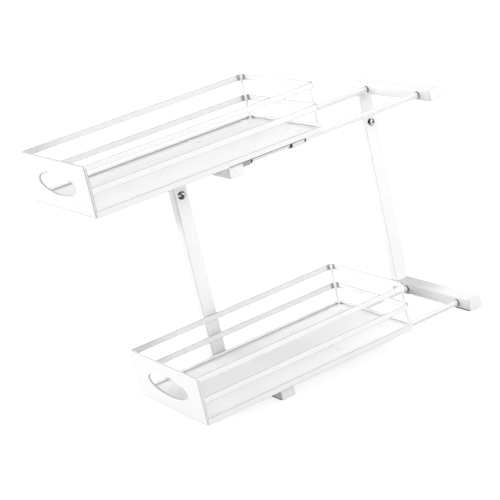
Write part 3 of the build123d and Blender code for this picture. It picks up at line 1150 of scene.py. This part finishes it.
@dataclass(frozen=True)
class Softbox:
    """A square lamp that faces the object, placed by its bearing."""

    name: str
    azimuth: float
    elevation: float
    distance: float
    size: float
    watts: float

    def hang(self, aim: Vector) -> None:
        """Put the lamp in place, facing a point.

        Args:
            aim: the point that it faces.
        """
        away = bearing(self.azimuth, self.elevation)
        lamp = bpy.data.lights.new(self.name, "AREA")
        lamp.shape = "SQUARE"
        lamp.size = self.size
        lamp.energy = self.watts
        holder = put(self.name, lamp)
        holder.location = aim + self.distance * away
        holder.rotation_euler = away.to_track_quat("Z", "Y").to_euler()
        LOG.info("lamp %s", self.name)


@dataclass
class Studio:
    """A pale floor, a bright backdrop in the world, soft lamps and the camera."""

    floor_half: float = 12.0
    floor_drop: float = 0.0002
    floor_colour: Triple = (0.47, 0.47, 0.47)
    floor_cell: float = 0.8
    floor_tint: float = 0.985
    floor_roughness: float = 0.9
    floor_shine: float = 0.1
    floor_lift: float = 0.76
    far_lift: float = 0.5
    far_start: float = 0.7
    far_end: float = 3.0
    world_level: float = 0.306
    back_level: float = 0.868
    back_start: float = 0.1
    back_end: float = 0.8
    back_rise: float = 0.25
    aim: Triple = (0.0, 0.0, 0.25)
    lamps: tuple[Softbox, ...] = (
        Softbox("left_softbox", -60.0, 20.0, 6.0, 3.0, 105.0),
        Softbox("front_softbox", -30.0, 15.0, 6.0, 3.0, 126.0),
        Softbox("low_softbox", 0.0, 10.0, 6.0, 1.8, 60.0),
        Softbox("right_softbox", 95.0, 15.0, 2.6, 1.3, 32.0),
        Softbox("rear_softbox", 130.0, 20.0, 2.6, 1.3, 17.0),
        Softbox("top_softbox", 0.0, 88.0, 2.6, 1.3, 16.0),
    )
    azimuth: float = 61.22
    elevation: float = 17.785
    roll: float = 13.105
    distance: float = 2.708
    target: Triple = (-0.1709, 0.0622, 0.152)
    focal_px: float = 1597.45
    image_px: float = 500.0
    sensor: float = 36.0
    clip_end: float = 60.0

    def build(self) -> None:
        """Make the floor, the world, the lamps and the camera."""
        self.lay_floor()
        self.light_world()
        for lamp in self.lamps:
            lamp.hang(Vector(self.aim))
        self.set_camera()
        bpy.context.scene.view_settings.view_transform = "Standard"

    def lay_floor(self) -> None:
        """A wide flat floor just under the feet, lifted to white in view, with the shadow kept."""
        half, under = self.floor_half, -self.floor_drop
        mesh = bpy.data.meshes.new("floor")
        corners = [(-half, -half, under), (half, -half, under), (half, half, under), (-half, half, under)]
        mesh.from_pydata(corners, [], [(0, 1, 2, 3)])
        graph = SurfaceGraph("pale_floor")
        cloud = graph.noise(self.floor_cell)
        colour = graph.blend(cloud, tinted(self.floor_colour, self.floor_tint), self.floor_colour)
        graph.cover(colour, self.floor_roughness)
        graph.surface.inputs["Specular IOR Level"].default_value = self.floor_shine
        away = graph.node("ShaderNodeVectorMath", {"operation": "LENGTH"}, {0: graph.point})
        far = Value(graph, away.outputs["Value"]).ramp(self.far_start, self.far_end)
        lift = (self.floor_lift + self.far_lift * far) * graph.in_view()
        glow = graph.node("ShaderNodeEmission", inputs={"Strength": lift})
        both = graph.node("ShaderNodeAddShader", inputs={0: graph.surface.outputs[0], 1: glow.outputs[0]})
        graph.feed(graph.output.inputs["Surface"], both.outputs[0])
        mesh.materials.append(graph.material)
        floor = put("floor", mesh)
        LOG.info("floor laid")

    def light_world(self) -> None:
        """A soft grey room with a bright backdrop behind the object, in view as plain white.

        The level towards a direction is world_level + back_level * ramp(direction . towards).
        """
        world = bpy.data.worlds.new("soft_room")
        bpy.context.scene.world = world
        world.use_nodes = True
        graph = Graph(world.node_tree)
        a = math.radians(self.azimuth)
        towards = (-math.sin(a), math.cos(a), self.back_rise)
        direction = graph.node("ShaderNodeTexCoord").outputs["Generated"]
        dot = graph.node("ShaderNodeVectorMath", {"operation": "DOT_PRODUCT"}, {0: direction, 1: towards})
        back = Value(graph, dot.outputs["Value"]).ramp(self.back_start, self.back_end)
        level = self.world_level + self.back_level * back
        seen = graph.in_view()
        level = level * (1.0 - seen) + seen
        background = graph.node("ShaderNodeBackground", inputs={"Strength": level})
        graph.node("ShaderNodeOutputWorld", inputs={"Surface": background.outputs[0]})
        LOG.info("world lit")

    def set_camera(self) -> None:
        """The camera at the photo's angle: back along its bearing, then rolled about its line of sight."""
        r = math.radians(self.roll)
        back = bearing(self.azimuth, self.elevation)
        right = (-back).cross(Vector((0.0, 0.0, 1.0))).normalized()
        down = (-back).cross(right)
        right_rolled = math.cos(r) * right + math.sin(r) * down
        up_rolled = math.sin(r) * right - math.cos(r) * down
        data = bpy.data.cameras.new("view")
        data.sensor_width = self.sensor
        data.lens = self.focal_px / self.image_px * self.sensor
        data.clip_end = self.clip_end
        camera = put("view", data)
        turn = Matrix((right_rolled, up_rolled, back)).transposed().to_4x4()
        camera.matrix_world = Matrix.Translation(Vector(self.target) + self.distance * back) @ turn
        bpy.context.scene.camera = camera
        LOG.info("camera set")


def main() -> None:
    """Dress the organizer and set up the studio."""
    logging.basicConfig(level=logging.INFO, format="%(message)s")
    shelf = FinishShelf()
    shelf.fill()
    StandFrame().dress(shelf)
    RailSet().dress(shelf)
    SlidingBasket("upper", Body.UPPER).dress(shelf)
    # The lower basket takes paler copies of the coat as painted light, and more painted shade on its strips'
    # left inner faces.
    SlidingBasket(
        "lower", Body.LOWER, inside_share=0.20, under_shade_share=0.0, panel_edge_share=0.36,
        panel_painted_light_colour=warm_white(0.94), tray_painted_light_colour=warm_white(0.95), rim_painted_light_colour=warm_white(0.90),
        strip_painted_light_colour=warm_white(0.935),
    ).dress(shelf)
    Studio().build()


if __name__ == "__main__":
    main()
